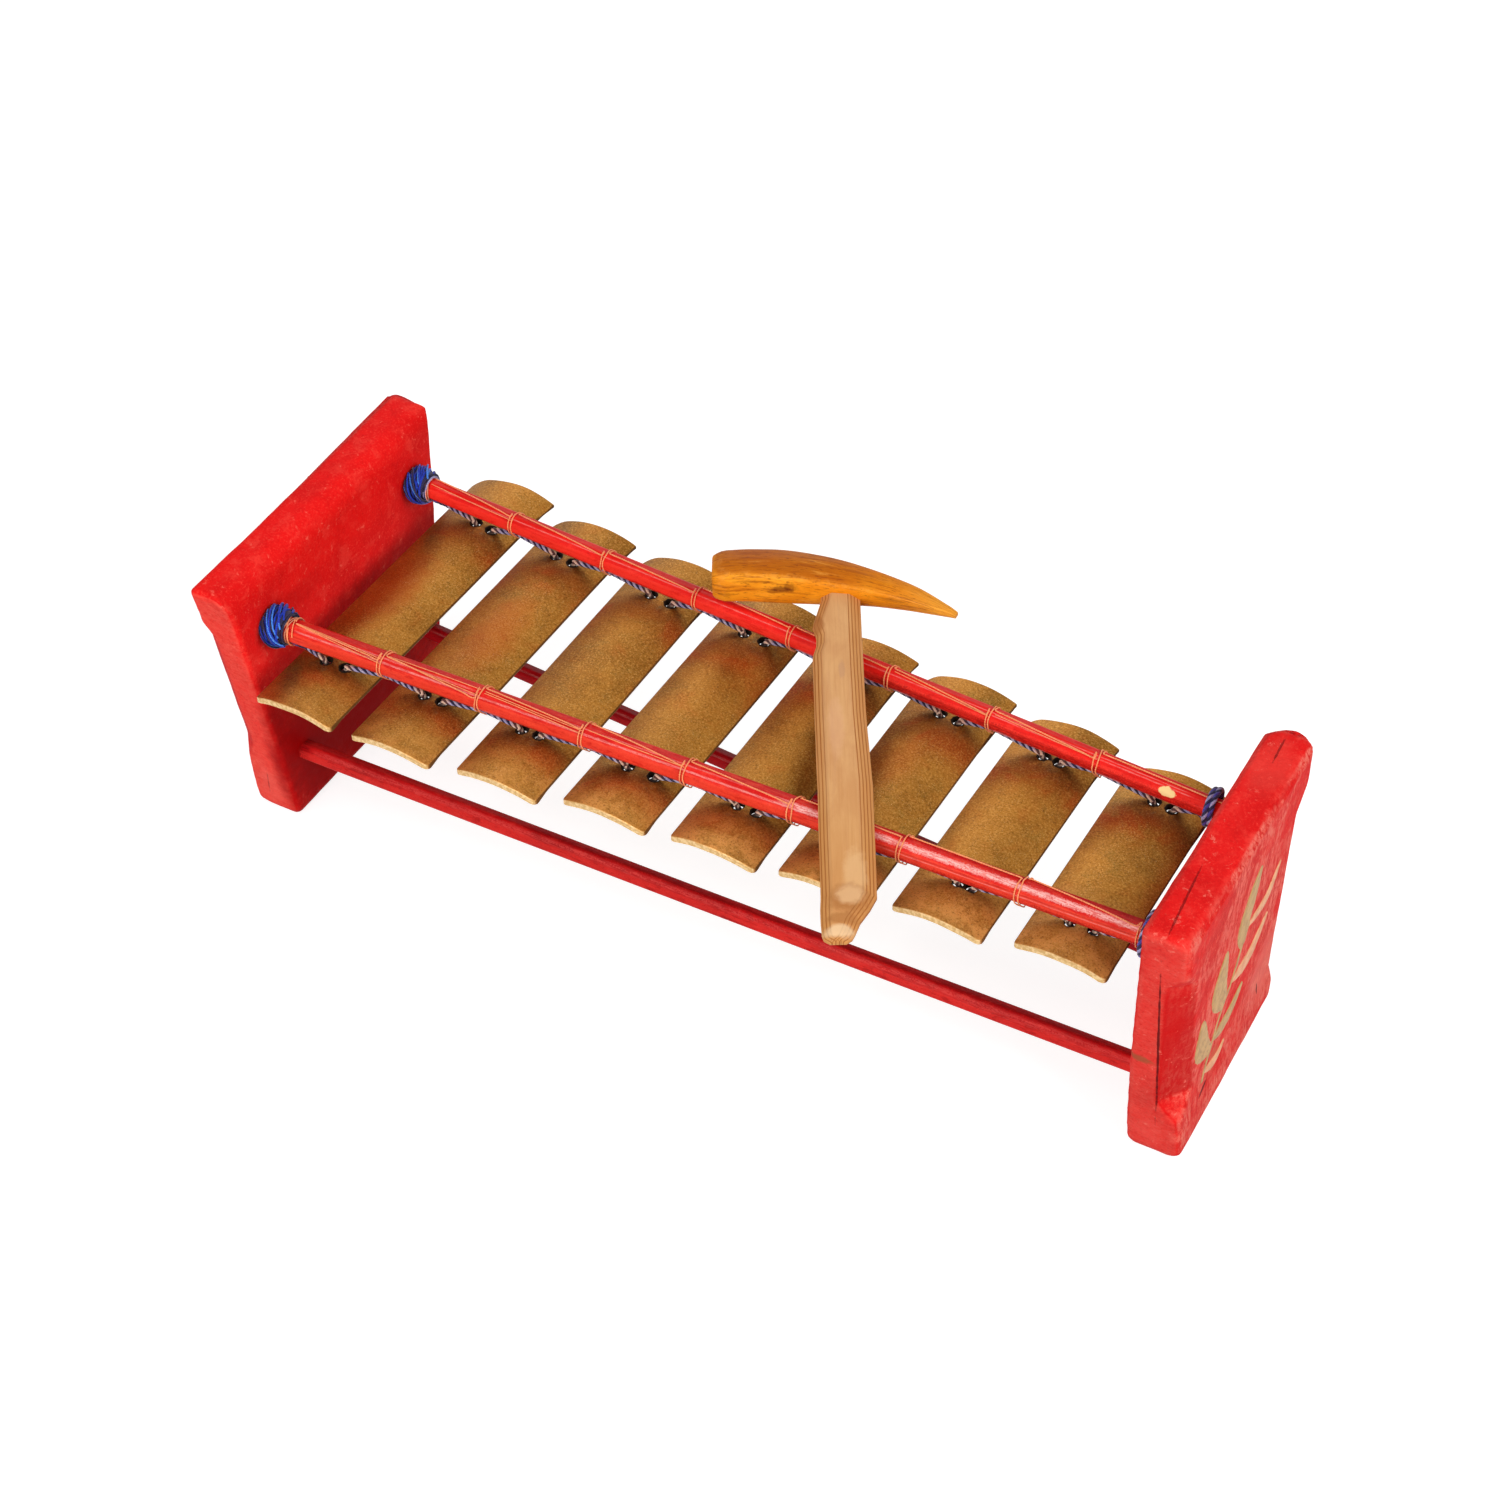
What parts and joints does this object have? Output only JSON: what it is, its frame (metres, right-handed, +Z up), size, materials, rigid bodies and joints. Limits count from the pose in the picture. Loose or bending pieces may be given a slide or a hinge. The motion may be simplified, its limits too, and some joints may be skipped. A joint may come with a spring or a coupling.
{
  "type": "metallophone",
  "caption": "Small table metallophone: arched bronze bars slung on twisted cords between two red wooden end boards, with a wooden mallet lying across the rods.",
  "frame": {"origin": "on the ground, under the middle of the whole instrument's bounding box, mallet included", "axes": "+Z up, +X along the row from the long bars to the short ones, -Y towards the player"},
  "size_m": [0.426, 0.1798, 0.1346],
  "materials": {
    "board_paint": "brush-painted red, worn",
    "rod_lacquer": "glossy red lacquer on cane",
    "bronze": "bronze-gold, grained satin",
    "suspension_cord": "twisted blue and cream cord",
    "lashing_thread": "thin orange thread",
    "mallet_wood": "varnished orange-brown wood",
    "mallet_cane": "raw pale split cane"
  },
  "bodies": {
    "frame": {"left_end_board": "board_paint", "right_end_board": "board_paint", "front_upper_rod": "rod_lacquer", "back_upper_rod": "rod_lacquer", "front_lower_rod": "rod_lacquer", "back_lower_rod": "rod_lacquer", "front_suspension_cord": "suspension_cord", "back_suspension_cord": "suspension_cord", "front_lashing_thread": "lashing_thread", "back_lashing_thread": "lashing_thread"},
    "bar_1": {"bar_1": "bronze"},
    "bar_2": {"bar_2": "bronze"},
    "bar_3": {"bar_3": "bronze"},
    "bar_4": {"bar_4": "bronze"},
    "bar_5": {"bar_5": "bronze"},
    "bar_6": {"bar_6": "bronze"},
    "bar_7": {"bar_7": "bronze"},
    "bar_8": {"bar_8": "bronze"},
    "mallet": {"mallet_head": "mallet_wood", "mallet_handle": "mallet_cane"}
  },
  "joints": [
    {"name": "bar_1_lift", "type": "slide", "parent": "frame", "child": "bar_1", "axis": [0, 0, 1], "range_m": [0, 0.001], "deforming": ["front_suspension_cord", "back_suspension_cord"]},
    {"name": "bar_2_lift", "type": "slide", "parent": "frame", "child": "bar_2", "axis": [0, 0, 1], "range_m": [0, 0.001], "deforming": ["front_suspension_cord", "back_suspension_cord"]},
    {"name": "bar_3_lift", "type": "slide", "parent": "frame", "child": "bar_3", "axis": [0, 0, 1], "range_m": [0, 0.001], "deforming": ["front_suspension_cord", "back_suspension_cord"]},
    {"name": "bar_4_lift", "type": "slide", "parent": "frame", "child": "bar_4", "axis": [0, 0, 1], "range_m": [0, 0.001], "deforming": ["front_suspension_cord", "back_suspension_cord"]},
    {"name": "bar_5_lift", "type": "slide", "parent": "frame", "child": "bar_5", "axis": [0, 0, 1], "range_m": [0, 0.001], "deforming": ["front_suspension_cord", "back_suspension_cord"]},
    {"name": "bar_6_lift", "type": "slide", "parent": "frame", "child": "bar_6", "axis": [0, 0, 1], "range_m": [0, 0.001], "deforming": ["front_suspension_cord", "back_suspension_cord"]},
    {"name": "bar_7_lift", "type": "slide", "parent": "frame", "child": "bar_7", "axis": [0, 0, 1], "range_m": [0, 0.001], "deforming": ["front_suspension_cord", "back_suspension_cord"]},
    {"name": "bar_8_lift", "type": "slide", "parent": "frame", "child": "bar_8", "axis": [0, 0, 1], "range_m": [0, 0.001], "deforming": ["front_suspension_cord", "back_suspension_cord"]},
    {"name": "mallet_lift", "type": "slide", "parent": "frame", "child": "mallet", "axis": [0, 0, 1], "range_m": [0, 0.05]}
  ]
}
